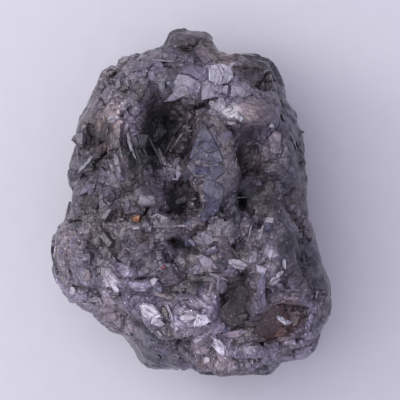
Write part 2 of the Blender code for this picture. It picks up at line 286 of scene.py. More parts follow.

# The large crystals, placed one by one: x, y, length, width, heading of the length, how far its far end
# rises, how far its left side rises (degrees), height of its top over the skin (mm), tone, polish.
# Rows named glint or sparkle are white or pale slabs standing in for highlights: painted highlights.
CRYSTALS = {
    # the crown's bright plates
    "crown_sugar_a": (0.98, 3.18, 0.34, 0.20, -15, 0, 4, 0.12, "white", 0.2),
    "crown_sugar_b": (1.50, 2.88, 0.36, 0.24, -35, 0, 4, 0.12, "white", 0.2),
    "crown_sugar_f": (0.70, 3.28, 0.30, 0.18, -10, 0, 4, 0.12, "white", 0.2),
    "crown_sugar_g": (1.62, 2.74, 0.26, 0.18, -50, 0, 4, 0.12, "white", 0.2),
    "crown_sugar_d": (1.22, 3.06, 0.28, 0.20, 40, 0, 4, 0.12, "white", 0.2),
    "crown_sugar_e": (1.32, 2.84, 0.24, 0.16, 0, 0, 4, 0.10, "white", 0.2),
    "crown_sugar_c": (0.70, 2.95, 0.35, 0.22, -20, 0, 5, 0.10, "pale", 0.5),
    "shoulder_brown_a": (-2.95, 2.40, 0.80, 0.45, 80, 0, 8, 0.08, "brown", 0.2),
    "shoulder_brown_b": (-2.95, 1.80, 0.60, 0.35, 70, 0, 5, 0.08, "tan", 0.2),
    "shoulder_brown_c": (-1.80, 3.60, 0.85, 0.60, 25, -4, 6, 0.14, "brown", 0.3),
    "shoulder_pale_a": (-2.75, 3.10, 0.60, 0.35, 60, 5, 5, 0.12, "beige", 0.4),
    "shoulder_pale_b": (-2.55, 2.75, 0.45, 0.25, 20, 0, 5, 0.14, "pale", 0.4),
    # shoulder_glint: a painted highlight
    "shoulder_glint": (-2.78, 2.35, 0.22, 0.05, 80, 0, 5, 0.16, "pale", 0.6),
    "shoulder_grey": (-1.60, 4.60, 0.90, 0.50, 15, 0, 8, 0.10, "grey", 0.6),
    "crown_brown_run": (0.55, 4.85, 0.70, 0.40, -25, 0, 0, 0.08, "tan", 0.4),
    "crown_rose": (1.55, 4.65, 0.42, 0.26, 5, 0, 0, 0.14, "rose", 0.5),
    # the nose and the blades beside it
    "nose_left": (-0.45, 1.00, 0.70, 0.28, 70, 0, 8, 0.10, "lavender", 0.6),
    "cavity_blade_a": (-2.05, 2.00, 0.80, 0.14, 100, 0, 0, 0.14, "pale", 0.5),
    "cavity_blade_b": (-1.75, 1.55, 0.70, 0.14, 112, 0, 0, 0.12, "grey", 0.5),
    "cavity_blade_c": (-2.45, 1.30, 0.95, 0.18, 108, 0, 0, 0.14, "pale", 0.5),
    "cavity_blade_d": (-0.95, 1.50, 1.00, 0.16, 114, 0, 0, 0.14, "pale", 0.5),
    "cavity_blade_e": (-2.35, 0.85, 0.60, 0.20, 120, 0, 4, 0.14, "lavender", 0.6),
    "cavity_blade_f": (-1.40, 1.25, 0.80, 0.14, 105, 0, 0, 0.12, "lavender", 0.5),
    "cavity_blade_g": (-0.35, 2.60, 0.90, 0.16, 55, 0, 0, 0.12, "grey", 0.5),
    "streak_long_a": (-1.95, 1.75, 1.50, 0.10, 108, 0, 0, 0.08, "white", 0.5),
    "streak_long_b": (-1.62, 1.90, 1.30, 0.08, 113, 0, 0, 0.08, "white", 0.5),
    "streak_long_c": (-1.20, 1.75, 1.40, 0.10, 116, 0, 0, 0.08, "white", 0.5),
    "bank_streak_a": (-3.55, 1.28, 0.90, 0.14, 48, 0, 0, 0.12, "white", 0.5),
    "bank_streak_b": (-2.62, 1.15, 0.90, 0.12, 118, 0, 0, 0.12, "pale", 0.5),
    "bank_streak_c": (-3.85, 0.75, 0.70, 0.12, 55, 0, 0, 0.12, "pale", 0.5),
    "streak_long_d": (-2.30, 1.60, 1.30, 0.06, 104, 0, 0, 0.05, "pale", 0.5),
    "streak_long_e": (-0.75, 1.90, 1.20, 0.06, 62, 0, 0, 0.05, "pale", 0.5),
    "streak_long_f": (-0.30, 2.30, 1.00, 0.06, 55, 0, 0, 0.05, "pale", 0.5),
    "streak_crown_a": (-0.90, 4.75, 1.20, 0.06, -8, 0, 0, 0.05, "pale", 0.5),
    "streak_crown_b": (0.10, 4.72, 1.10, 0.06, -18, 0, 0, 0.05, "pale", 0.5),
    "streak_crown_c": (-1.70, 4.25, 1.00, 0.07, 25, 0, 0, 0.05, "pale", 0.5),
    "streak_wall_a": (3.25, 2.50, 1.60, 0.06, -68, 0, 0, 0.05, "pale", 0.5),
    "streak_wall_b": (3.55, 2.10, 1.20, 0.05, -72, 0, 0, 0.05, "grey", 0.5),
    "cavity_foot_a": (-0.15, 0.85, 0.50, 0.30, 70, 0, 4, 0.12, "lavender", 0.5),
    "cavity_foot_b": (-0.65, 0.55, 0.45, 0.25, 100, 0, 4, 0.10, "grey", 0.5),
    "cavity_foot_c": (-0.35, 0.05, 0.50, 0.30, 20, 0, 4, 0.10, "grey", 0.5),
    # the middle belt
    "haze_lump": (-1.40, 0.05, 0.75, 0.50, 5, 0, 3, 0.14, "pale", 0.3),
    "haze_drip": (-1.10, -0.35, 0.45, 0.14, 90, 0, 0, 0.12, "lavender", 0.4),
    "haze_left": (-2.10, -0.15, 0.40, 0.22, 75, 0, 4, 0.10, "lavender", 0.4),
    "orange_grain": (-1.80, -0.55, 0.32, 0.30, 20, 0, 0, 0.14, "orange", 0.4),
    "ledge_bead": (-1.76, -0.85, 0.30, 0.14, 0, 0, 0, 0.18, "white", 0.4),
    "ledge_lip": (-0.70, -0.80, 1.35, 0.10, 1, 0, 0, 0.18, "pale", 0.4),
    "left_bank_a": (-3.45, 0.45, 0.80, 0.30, 30, 0, 5, 0.12, "lavender", 0.5),
    "left_bank_b": (-3.75, 0.90, 0.60, 0.14, 55, 0, 5, 0.14, "grey", 0.5),
    "left_bank_c": (-3.40, 0.05, 0.80, 0.60, 0, 0, 6, 0.08, "olive", 0.5),
    "left_bank_d": (-2.70, 0.25, 0.55, 0.45, 0, 0, 4, 0.10, "grey", 0.4),
    "left_bank_e": (-3.20, 1.55, 0.50, 0.14, 25, 0, 4, 0.12, "pale", 0.5),
    "belt_bar": (1.70, 0.15, 0.42, 0.05, 0, 0, 0, 0.16, "white", 0.6),
    "belt_lilac": (2.60, -0.60, 0.36, 0.26, 0, 0, 3, 0.14, "pale", 0.8),
    "right_rose": (2.80, 1.90, 0.85, 0.60, 100, 0, 3, 0.16, "rose", 0.4),
    # right_glint: a painted highlight
    "right_glint": (2.68, 2.50, 0.16, 0.20, 60, 0, 3, 0.16, "white", 0.6),
    "right_mauve": (1.75, 2.30, 0.60, 0.40, 0, 0, 3, 0.06, "grey", 0.6),
    # dark slabs for the pits: painted shade; the cracks are dark lines; nose_glint is a painted highlight
    "nose_pit_a": (0.33, 1.98, 0.16, 0.08, 10, 0, 0, 0.20, "dark", 0.6),
    "nose_pit_b": (0.30, 1.80, 0.12, 0.07, -20, 0, 0, 0.20, "dark", 0.6),
    "nose_crack_a": (0.62, 1.66, 0.50, 0.04, 12, 0, 0, 0.19, "dark", 0.6),
    "nose_crack_b": (0.40, 1.40, 0.55, 0.05, -14, 0, 0, 0.19, "dark", 0.6),
    "nose_glint": (0.52, 1.52, 0.12, 0.05, 60, 0, 0, 0.22, "white", 0.6),
    # root_pit: a dark slab, painted shade
    "root_pit": (0.85, 0.55, 0.22, 0.10, 60, 0, 0, 0.18, "dark", 0.6),
    # below the ledge
    "ribbon_a": (0.55, -1.98, 0.80, 0.36, -40, 0, 3, 0.12, "frost", 0.5),
    "ribbon_b": (1.12, -1.52, 0.70, 0.34, 60, 0, 3, 0.12, "lavender", 0.5),
    "ribbon_c": (1.50, -2.02, 0.80, 0.34, -10, 0, 3, 0.14, "frost", 0.5),
    "ribbon_d": (2.05, -1.78, 0.60, 0.34, 70, 0, 3, 0.12, "lavender", 0.5),
    "ribbon_e": (0.10, -2.25, 0.60, 0.34, 20, 0, 3, 0.10, "lavender", 0.5),
    "ribbon_f": (2.32, -2.22, 0.50, 0.32, -20, 0, 3, 0.12, "frost", 0.5),
    "step_plate": (0.45, -1.20, 1.00, 0.58, -10, 0, 6, 0.14, "frost", 0.6),
    "step_plate_low": (0.05, -1.35, 0.50, 0.22, -35, 0, 6, 0.12, "lavender", 0.8),
    "step_grey": (0.62, -1.62, 0.70, 0.30, 20, 0, 3, 0.10, "slate", 0.5),
    "streak_a": (1.95, -1.00, 0.60, 0.09, 80, 0, 0, 0.16, "pale", 0.5),
    "streak_b": (2.32, -1.00, 0.62, 0.09, 75, 0, 0, 0.16, "pale", 0.5),
    "streak_c": (1.30, -0.80, 0.45, 0.09, -30, 0, 0, 0.12, "pale", 0.5),
    "streak_d": (1.40, -1.60, 0.35, 0.07, -50, 0, 0, 0.16, "white", 0.5),
    "right_pale_lump": (2.68, -1.72, 0.52, 0.46, 40, 0, 4, 0.20, "frost", 0.6),
    "white_curl_a": (3.08, -2.05, 0.50, 0.14, 95, 0, 4, 0.18, "white", 0.5),
    "white_curl_b": (2.92, -2.38, 0.40, 0.14, 50, 0, 4, 0.18, "white", 0.5),
    "blue_blade": (2.35, -2.80, 0.95, 0.34, 85, 0, 2, 0.18, "lavender", 0.9),
    "blue_blade_tip": (2.40, -3.30, 0.40, 0.20, 85, 0, 2, 0.14, "lavender", 0.9),
    "fan_a": (2.75, -2.60, 0.50, 0.30, 40, 0, 3, 0.16, "pale", 0.5),
    "fan_b": (2.95, -2.80, 0.45, 0.30, -20, 0, 3, 0.14, "lavender", 0.5),
    "sill_line": (3.55, -2.92, 0.80, 0.08, -3, 0, 0, 0.14, "pale", 0.4),
    "saddle_pale": (1.00, -2.78, 0.70, 0.46, 95, 0, 3, 0.18, "frost", 0.7),
    "saddle_ring": (0.65, -2.80, 0.50, 0.14, 80, 0, 0, 0.16, "pale", 0.5),
    "saddle_top": (0.90, -2.45, 0.70, 0.14, -25, 0, 0, 0.16, "pale", 0.5),
    "saddle_arm": (1.30, -2.25, 0.45, 0.16, 10, 0, 4, 0.14, "lavender", 0.6),
    "brightest": (0.35, -3.92, 0.80, 0.46, -20, 0, 4, 0.24, "white", 0.6),
    "brightest_left": (-0.10, -3.80, 0.50, 0.30, 10, 0, 4, 0.16, "pale", 0.7),
    "brightest_right": (0.75, -3.80, 0.50, 0.40, 60, 0, 0, 0.08, "grey", 0.7),
    "comb": (0.42, -3.35, 0.55, 0.12, -30, 0, 0, 0.16, "pale", 0.5),
    # the low left mass
    "long_pale": (-2.65, -2.50, 0.95, 0.50, -55, -3, 4, 0.20, "pale", 0.5),
    "long_pale_tip": (-2.50, -2.85, 0.42, 0.22, -65, -6, 6, 0.18, "white", 0.5),
    "left_beige": (-3.42, -2.45, 0.55, 0.30, 75, 0, 5, 0.18, "beige", 0.4),
    "left_white_tri": (-4.02, -3.02, 0.30, 0.24, 90, 4, 8, 0.14, "white", 0.6),
    # left_sparkle: a painted highlight
    "left_sparkle": (-3.20, -3.30, 0.50, 0.20, 5, 0, 5, 0.12, "pale", 0.4),
    "left_rim_line": (-3.55, -3.45, 0.60, 0.06, -5, 0, 0, 0.10, "pale", 0.4),
    "left_lobe_brown": (-4.15, -2.50, 0.60, 0.45, 60, 0, 6, 0.10, "beige", 0.3),
    "bead_a": (-1.22, -2.60, 0.28, 0.24, 20, 0, 4, 0.18, "white", 0.4),
    "bead_b": (-1.45, -2.25, 0.22, 0.18, 60, 0, 4, 0.14, "pale", 0.4),
    "bead_c": (-0.88, -2.58, 0.24, 0.18, 30, 0, 4, 0.14, "pale", 0.4),
    "red_grain": (-0.90, -2.15, 0.16, 0.14, 30, 0, 0, 0.10, "red", 0.4),
    "beige_bar": (-0.92, -3.08, 0.80, 0.26, -8, 0, 4, 0.20, "beige", 0.4),
    "leaf_rim": (-0.70, -3.60, 0.60, 0.08, -65, 0, 0, 0.18, "pale", 0.5),
    "leaf_olive": (-0.88, -3.65, 0.55, 0.26, -65, 0, 0, 0.14, "olive", 0.6),
    "big_pale": (-1.35, -3.65, 0.95, 0.55, -40, -3, 5, 0.22, "white", 0.5),
    "big_pale_tip": (-1.10, -3.97, 0.50, 0.28, -20, -4, 6, 0.16, "white", 0.6),
    "low_streak": (-2.18, -4.42, 0.32, 0.09, -55, 0, 6, 0.12, "white", 0.6),
    "low_chip_a": (-1.05, -4.35, 0.26, 0.10, -50, 0, 4, 0.14, "white", 0.5),
    "low_chip_b": (-1.28, -4.32, 0.20, 0.06, 20, 0, 4, 0.14, "white", 0.5),
    "low_chip_c": (-0.48, -4.20, 0.22, 0.12, 60, 0, 4, 0.14, "pale", 0.5),
    "low_grey_face": (-1.35, -5.15, 0.70, 0.50, -25, 0, 6, 0.06, "grey", 0.7),
    # the foot
    "foot_pale": (0.90, -4.80, 0.85, 0.42, -65, 0, 4, 0.22, "white", 0.5),
    "foot_ridge": (1.45, -4.40, 1.00, 0.28, 15, 0, 3, 0.18, "rose", 0.5),
    "foot_ridge_right": (2.25, -4.60, 0.70, 0.18, -15, 0, 3, 0.16, "beige", 0.5),
    "foot_bead": (0.50, -5.35, 0.34, 0.28, 30, 0, 4, 0.14, "pale", 0.5),
    # foot glints: painted highlights
    "foot_glint_a": (2.05, -5.35, 0.08, 0.22, 0, 0, 0, 0.18, "white", 0.5),
    "foot_glint_b": (2.20, -5.25, 0.22, 0.06, -60, 0, 0, 0.18, "white", 0.5),
    "foot_glint_c": (2.10, -4.92, 0.14, 0.10, 0, 0, 0, 0.18, "white", 0.5),
    # amber glints: painted highlights on the amber window
    "amber_glint_a": (3.02, -3.94, 0.30, 0.17, -40, 0, 0, 0.26, "white", 0.4),
    "amber_glint_b": (3.26, -4.10, 0.34, 0.22, 10, 0, 0, 0.30, "white", 0.4),
    "right_rim_pale": (4.25, -3.15, 0.36, 0.14, 80, 0, -4, 0.12, "pale", 0.5),
    "right_rim_beige": (4.62, -3.80, 0.45, 0.30, 80, 0, -6, 0.06, "beige", 0.4),
    "smoky_chip_a": (1.42, -3.42, 0.55, 0.34, 65, 4, 3, 0.44, "olive", 0.3),
    "smoky_chip_b": (1.72, -3.82, 0.46, 0.28, 20, -4, 3, 0.44, "olive", 0.3),
    "smoky_chip_c": (1.25, -3.86, 0.34, 0.22, -30, 0, -5, 0.40, "brown", 0.3),
    "shoulder_chip_a": (-3.05, 2.60, 0.50, 0.26, 70, 0, 6, 0.12, "tan", 0.3),
    "shoulder_chip_b": (-3.12, 2.05, 0.46, 0.22, 95, 0, 6, 0.12, "brown", 0.3),
    "shoulder_chip_c": (-2.70, 1.75, 0.40, 0.20, 80, 0, 4, 0.12, "tan", 0.3),
}

# The named faces: corners (mm), lean (degrees of rise to the right and upward), heading of the streaks,
# height of the top over the skin, tone, polish.
PANES = {
    "nose_pane": (
        (
            (0.42, 2.52), (0.68, 2.24), (0.88, 1.85), (1.06, 1.34), (0.66, 1.22), (0.20, 1.30),
            (-0.06, 1.44), (0.08, 1.85), (0.22, 2.26),
        ),
        (-10, 8), 10, 0.13, "slate", 0.35,
    ),
    "nose_foot": (
        (
            (-0.10, 1.34), (0.45, 1.16), (1.02, 1.24), (1.08, 0.98), (0.80, 0.76), (0.42, 0.92),
            (0.10, 0.90),
        ),
        (-6, 4), 0, 0.10, "slate", 0.3,
    ),
    "root_pane": (
        (
            (0.45, 0.72), (0.80, 0.70), (1.05, 0.50), (1.05, 0.10), (0.90, -0.30), (0.62, -0.55),
            (0.42, -0.45), (0.52, 0.00), (0.36, 0.40),
        ),
        (-4, 4), 80, 0.12, "slate", 0.4,
    ),
    "root_tail": (
        (
            (0.45, -0.25), (0.62, -0.55), (0.20, -0.78), (-0.42, -0.78), (-0.10, -0.62), (0.20, -0.45),
        ),
        (0, 4), 30, 0.03, "slate", 0.3,
    ),
    "crown_pane_left": (
        (
            (-0.92, 3.32), (-0.55, 3.36), (-0.10, 3.55), (0.30, 3.62), (0.35, 3.92), (-0.10, 4.20),
            (-0.42, 4.25), (-0.62, 3.90), (-0.60, 3.62),
        ),
        (-4, 4), 30, 0.10, "lavender", 0.6,
    ),
    "crown_pane_up": (
        (
            (-0.42, 4.28), (-0.05, 4.22), (0.38, 3.96), (0.55, 4.10), (0.50, 4.42), (0.10, 4.56),
            (-0.30, 4.50),
        ),
        (-3, 4), -10, 0.10, "lavender", 0.5,
    ),
    "crown_pane_right": (
        (
            (0.58, 4.50), (1.05, 4.60), (1.34, 4.50), (1.42, 4.18), (1.22, 3.95), (0.92, 3.88),
            (0.60, 4.02),
        ),
        (-3, 4), 100, 0.12, "white", 0.6,
    ),
    "crown_pane_mid": (
        (
            (0.36, 3.36), (0.72, 3.46), (1.20, 3.50), (1.24, 3.86), (0.88, 3.84), (0.55, 3.98),
            (0.34, 3.80),
        ),
        (-3, 4), 80, 0.12, "frost", 0.7,
    ),
    "crown_pane_far": (
        (
            (1.32, 3.42), (1.72, 3.40), (2.05, 3.60), (2.00, 3.92), (1.62, 4.06), (1.34, 3.94),
        ),
        (-2, 5), 70, 0.12, "frost", 0.5,
    ),
    "smoky_pane": (
        (
            (1.66, -2.60), (1.92, -2.62), (2.08, -3.10), (2.05, -3.70), (1.78, -4.10), (1.32, -4.18),
            (0.96, -3.92), (0.98, -3.52), (1.30, -3.22), (1.48, -2.90),
        ),
        (-20, 0), 85, 0.12, "olive", 0.4,
    ),
    "amber_pane": (
        (
            (2.08, -4.30), (2.42, -3.82), (2.72, -3.40), (3.05, -3.46), (3.30, -3.90), (3.55, -4.30),
            (3.20, -4.58), (2.60, -4.70), (2.20, -4.56),
        ),
        (-8, -6), 20, 0.04, "amber", 0.6,
    ),
    # amber_glow: a painted glow in the amber window
    "amber_glow": (
        (
            (2.52, -4.30), (2.80, -4.14), (3.16, -4.26), (3.30, -4.42), (3.10, -4.54), (2.70, -4.58),
        ),
        (-8, -6), 20, 0.055, "honey", 0.6,
    ),
    "olive_pane": (
        (
            (0.62, 2.84), (0.84, 2.86), (1.10, 2.50), (1.30, 2.08), (1.34, 1.65), (1.24, 1.56),
            (1.10, 1.82), (0.92, 2.20),
        ),
        (6, 2), -68, 0.16, "brown", 0.5,
    ),
}


# ---------------------------------------------------------------------------------------------------
# Mesh helpers
# ---------------------------------------------------------------------------------------------------

WHOLE_NUMBERS = ("vertices", "vertex_index", "loop_start")


def clear_helpers(*objects):
    for helper in objects:
        bpy.data.objects.remove(helper)


def read_vector(items, name, count, width=3):
    values = np.empty(count * width, np.int32 if name in WHOLE_NUMBERS else np.float32)
    items.foreach_get(name, values)
    return values.reshape(count, width) if width > 1 else values


def read_points(data):
    return read_vector(data.vertices, "co", len(data.vertices)).astype(float)


def move_points(data, points):
    data.vertices.foreach_set("co", points.astype(np.float32).ravel())
    data.update()


def store(data, name, values, domain="FACE"):
    """Keeps one number or one colour for each face or point of the mesh."""
    values = np.asarray(values, np.float32)
    coloured = values.ndim == 2
    attribute = data.attributes.new(name, "FLOAT_COLOR" if coloured else "FLOAT", domain)
    attribute.data.foreach_set("color" if coloured else "value", values.ravel())


# ---------------------------------------------------------------------------------------------------
# The body under the crystals
# ---------------------------------------------------------------------------------------------------

VOXEL = 0.085
ROUNDING_TURNS = 5
UPPER_FROM = 1.2  # mm: places take hold from this height up, and wholly from 1 mm higher
HACKLES = (
    # cells, lean, step, the furthest a leaning face may stand, share of it on the top and on the flanks
    (380, 0.75, 0.10, 0.20, 1.0, 0.3),
    (2200, 0.65, 0.03, 0.08, 1.0, 0.4),
    (130, 0.40, 0.05, 0.12, 0.0, 1.0),
)
PLACE_CALM = 0.6  # share of the breaks that the smooth places are spared
FLANK_FROM = 0.22  # a skin whose normal rises less than this is all flank, and
FLANK_TO = 0.72  # more than this is all open top
PRESS_FROM = 6.2  # mm: the height from which the tops are pressed down
PRESS_ROOM = 0.8
ROUGH_BELOW = 2.6  # mm: under the widest girth the flanks are nearly as broken as the top
ROUGH_SHARE = 0.85
FOOT_TO = 0.4  # mm: the foot is left as it is up to here
SKIN_ROOM = 0.05  # mm taken off all over, for the crystals to stand in


def body_mesh():
    """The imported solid, merged, in millimetres and remeshed evenly."""
    mesh = bmesh.new()
    mesh.from_mesh(bpy.data.objects["rough_diamond"].data)
    bmesh.ops.remove_doubles(mesh, verts=mesh.verts[:], dist=1e-7)
    bmesh.ops.scale(mesh, verts=mesh.verts[:], vec=(1 / MM, 1 / MM, 1 / MM))
    data = bpy.data.meshes.new("stone_body")
    mesh.to_mesh(data)
    mesh.free()
    body = bpy.data.objects.new("stone_body", data)
    bpy.context.scene.collection.objects.link(body)
    remesh = body.modifiers.new("even_out", "REMESH")
    remesh.mode = "VOXEL"
    remesh.voxel_size = VOXEL
    rounding = body.modifiers.new("round_off", "SMOOTH")
    rounding.factor = 0.5
    rounding.iterations = ROUNDING_TURNS
    even = bpy.data.meshes.new_from_object(body.evaluated_get(bpy.context.evaluated_depsgraph_get()))
    clear_helpers(body)
    return even


def patch(points, x, y, half_length, half_width, heading):
    """1 in the middle of an oval on the upper side, falling smoothly to 0 outside it."""
    turn = math.radians(heading)
    across, along = points[:, 0] - x, points[:, 1] - y
    u = (across * math.cos(turn) + along * math.sin(turn)) / half_length
    v = (along * math.cos(turn) - across * math.sin(turn)) / half_width
    return np.exp(-((u * u + v * v) ** 2)) * np.clip(points[:, 2] - UPPER_FROM, 0, 1)


def strength_of(points, places):
    """The strongest of several soft ovals at each point."""
    strength = np.zeros(len(points))
    for x, y, half_length, half_width, heading, most in places.values():
        strength = np.maximum(strength, most * patch(points, x, y, half_length, half_width, heading))
    return strength


def hackle(points, cells, lean, step, most, random):
    """How far the flat breaks move the points, along their normals: the highest of the nearest few."""
    seeds = points[random.choice(len(points), cells, replace=False)]
    tilts = random.normal(0, lean / 2, (cells, 3))
    steps = random.uniform(-step, step, cells)
    tree = KDTree(cells)
    for index, seed in enumerate(seeds):
        tree.insert(seed, index)
    tree.balance()
    nearest = np.array([[found[1] for found in tree.find_n(point, 3)] for point in points])
    raised = ((points[:, None] - seeds[nearest]) * tilts[nearest]).sum(axis=2) + steps[nearest]
    return np.clip(raised.max(axis=1), -most, most)


def shape_body(data):
    """Sinks the wells, raises the swells and breaks the skin into flat facets. Returns how bare it stays."""
    random = np.random.default_rng(SEED)
    points = read_points(data)
    for x, y, half_length, half_width, heading, depth in WELLS.values():
        points[:, 2] -= depth * patch(points, x, y, half_length, half_width, heading)
    for x, y, half_length, half_width, heading, height in SWELLS.values():
        points[:, 2] += height * patch(points, x, y, half_length, half_width, heading)
    # The highest places are pressed down a little, so that crystals on them stay inside the stone's height.
    over = np.clip(points[:, 2] - PRESS_FROM, 0, None)
    points[:, 2] -= over - PRESS_ROOM * np.tanh(over / PRESS_ROOM)
    for x, y, reach_x, reach_y, moved_x, moved_y in PULLS.values():
        share = np.exp(-(((points[:, 0] - x) / reach_x) ** 2) - ((points[:, 1] - y) / reach_y) ** 2)
        points[:, :2] += share[:, None] * (moved_x, moved_y)
    move_points(data, points)
    normals = read_vector(data.vertices, "normal", len(points)).astype(float)
    facing = np.clip((normals[:, 2] - FLANK_FROM) / (FLANK_TO - FLANK_FROM), 0, 1)
    facing = facing * facing * (3 - 2 * facing)
    height = points[:, 2]
    under = np.clip((ROUGH_BELOW - height) / 0.8, 0, 1) * np.clip((height - FOOT_TO) / 0.4, 0, 1)
    facing = np.maximum(facing, ROUGH_SHARE * under)
    moved = np.zeros(len(points))
    for cells, lean, step, most, on_top, on_flank in HACKLES:
        moved += hackle(points, cells, lean, step, most, random) * (on_flank + (on_top - on_flank) * facing)
    moved *= 1 - PLACE_CALM * strength_of(points, SMOOTH_PLACES)
    move_points(data, points + normals * (moved - SKIN_ROOM)[:, None])
    return facing


# ---------------------------------------------------------------------------------------------------
# Crystals
# ---------------------------------------------------------------------------------------------------

# Sown crystals: how many shapes, length, width and depth, polish, tones in turn.
KINDS = {
    "grains": (
        (12, (1.0, 0.8, 0.75), 0.4),
        (None, None, "grey", None, None, None, "rose", None, None, "lavender", None, "slate"),
    ),
    "plates": (
        (10, (1.0, 0.7, 0.4), 0.6),
        (None, None, "grey", None, "lavender", None, None, None, "brown", None),
    ),
    "splinters": (
        (8, (1.0, 0.20, 0.25), 0.6),
        (None, "grey", None, "pale", None, "lavender", None, None),
    ),
}
GRAIN_POINTS = 15
SOWN_BEVEL = 0.10
SOWN_CROWN = 0.05
UNDERCUT = 0.85  # a slab's underside, as a share of its outline
THICKNESS = 0.42  # how deep a placed crystal is, as a share of its width, and no less than the next
LEAST_DEPTH = 0.34
PANE_BEVEL = 0.06
BEVEL = 0.18  # width of the bevels, as a share of the crystal's
CROWN = 0.12  # rise of the middle of its top, as a share of its width
CRYSTAL_PEAKS = 2  # points raised inside the outline of a crystal's top
PANE_PEAKS = 6
STEEPEST = 1.6  # steepest slope on which a placed crystal still lies flat to the skin
OVERHEAD = 20  # mm: the height from which the skin is felt for


def finished_crystal(name, mesh):
    bmesh.ops.triangulate(mesh, faces=[face for face in mesh.faces if len(face.verts) > 3])
    bmesh.ops.recalc_face_normals(mesh, faces=mesh.faces[:])
    data = bpy.data.meshes.new(name)
    mesh.to_mesh(data)
    mesh.free()
    return data


def cut_grain(name, size, points, random):
    """A many-sided crystal: the hull of points strewn over an oval."""
    strewn = random.normal(size=(points, 3))
    strewn *= 0.5 * np.array(size) / np.linalg.norm(strewn, axis=1, keepdims=True)
    mesh = bmesh.new()
    for point in strewn:
        mesh.verts.new(point)
    bmesh.ops.convex_hull(mesh, input=mesh.verts[:])
    return finished_crystal(name, mesh)


def cut_slab(name, outline, depth, bevel, crown, random, inner=1):
    """A crystal with the given outline, bevelled edges and a top of several faces. Its top is near 0."""
    outline = np.array(outline)
    corners = len(outline)
    reach = np.linalg.norm(outline, axis=1)
    inset = np.minimum(0.45, random.uniform(0.4, 1.3, corners) * bevel / reach)
    top = outline * (1 - inset)[:, None]
    mesh = bmesh.new()
    middle = top.mean(axis=0)
    chosen = top[random.permutation(corners)[:inner]]
    spots = middle + (chosen - middle) * random.uniform(0.1, 0.65, (inner, 1))
    flat = [Vector(point) for point in (*top, *spots)]
    _, _, faces, origins, _, _ = delaunay_2d_cdt(flat, [], [list(range(corners))], 1, 1e-6)
    rises = random.uniform(0.2, 1, inner) * crown
    peaks = [mesh.verts.new((*spot, rise)) for spot, rise in zip(spots, rises)]
    rings = []
    for ring, heights in (
        (top, random.uniform(-0.5, 0.2, corners) * crown),
        (outline, -bevel * random.uniform(0.7, 1.6, corners)),
        (outline * UNDERCUT, np.full(corners, -depth)),
    ):
        rings.append([mesh.verts.new((*point, height)) for point, height in zip(ring, heights)])
    on_top = rings[0] + peaks
    for face in faces:
        mesh.faces.new([on_top[origins[corner][0]] for corner in face])
    for index in range(corners):
        after = (index + 1) % corners
        for upper, lower in ((rings[0], rings[1]), (rings[1], rings[2])):
            mesh.faces.new((upper[after], upper[index], lower[index], lower[after]))
    mesh.faces.new(rings[2][::-1])
    return finished_crystal(name, mesh)


def ragged_oval(length, width, random):
    """Five to eight corners around an oval, unevenly spaced and unevenly far out."""
    corners = random.integers(5, 9)
    turn = 2 * math.pi * (np.arange(corners) + random.uniform(-0.35, 0.35, corners)) / corners
    reach = random.uniform(0.7, 1.25, corners) / 2
    return np.stack((np.cos(turn) * reach * length, np.sin(turn) * reach * width), axis=1)


def paint_crystal(data, tone, polish, heading, random):
    """Gives each face its own shade, and all of them the crystal's colour, polish and run of streaks."""
    faces = len(data.polygons)
    store(data, "shade", random.uniform(-1, 1, faces))
    store(data, "polish", np.full(faces, polish))
    store(data, "run", np.full(faces, heading))
    store(data, "tint", np.tile((*TONES[tone], 1.0) if tone else (0.0, 0.0, 0.0, 0.0), (faces, 1)))


def crystal_family(kind):
    (shapes, size, polish), tones = KINDS[kind]
    random = np.random.default_rng(SEED + len(kind))
    family = bpy.data.collections.new(kind)
    for index in range(shapes):
        name = f"{kind}_{index}"
        if kind == "grains":
            data = cut_grain(name, size, GRAIN_POINTS, random)
        else:
            length, width, depth = size
            outline = ragged_oval(length, width, random)
            data = cut_slab(name, outline, depth, SOWN_BEVEL, SOWN_CROWN, random)
        paint_crystal(data, tones[index % len(tones)], polish, random.uniform(-1.6, 1.6), random)
        family.objects.link(bpy.data.objects.new(data.name, data))
    return family


def lay_slab(tree, name, middle, outline, slope, over, look, bevel, inner, random):
    """Cuts one slab and lays it on the plane that fits the skin best under it, tilted by the slope."""
    tone, polish, heading = look
    spots = np.vstack((np.zeros(2), outline, outline * 0.5))
    fall = Vector((0, 0, -1))
    found = [tree.ray_cast(Vector((*(middle + spot), OVERHEAD)), fall)[0] for spot in spots]
    kept = [index for index, hit in enumerate(found) if hit]
    flat = np.column_stack((spots[kept], np.ones(len(kept))))
    heights = np.array([found[index].z for index in kept])
    across, up, level = np.linalg.lstsq(flat, heights, rcond=None)[0]
    tilt = np.clip((across, up), -STEEPEST, STEEPEST) + slope
    width = 2 * np.linalg.norm(outline, axis=1).min()
    depth = max(LEAST_DEPTH, THICKNESS * width)
    inner = min(inner, len(outline) - 2)
    crown = CROWN * width * (1.2 - polish) / math.sqrt(inner)
    slab = cut_slab(name, outline, depth, bevel * width, crown, random, inner)
    paint_crystal(slab, tone, polish, heading, random)
    points = read_points(slab)
    points[:, 2] += points[:, :2] @ tilt + level + over
    points[:, :2] += middle
    move_points(slab, points)
    return bpy.data.objects.new(name, slab)


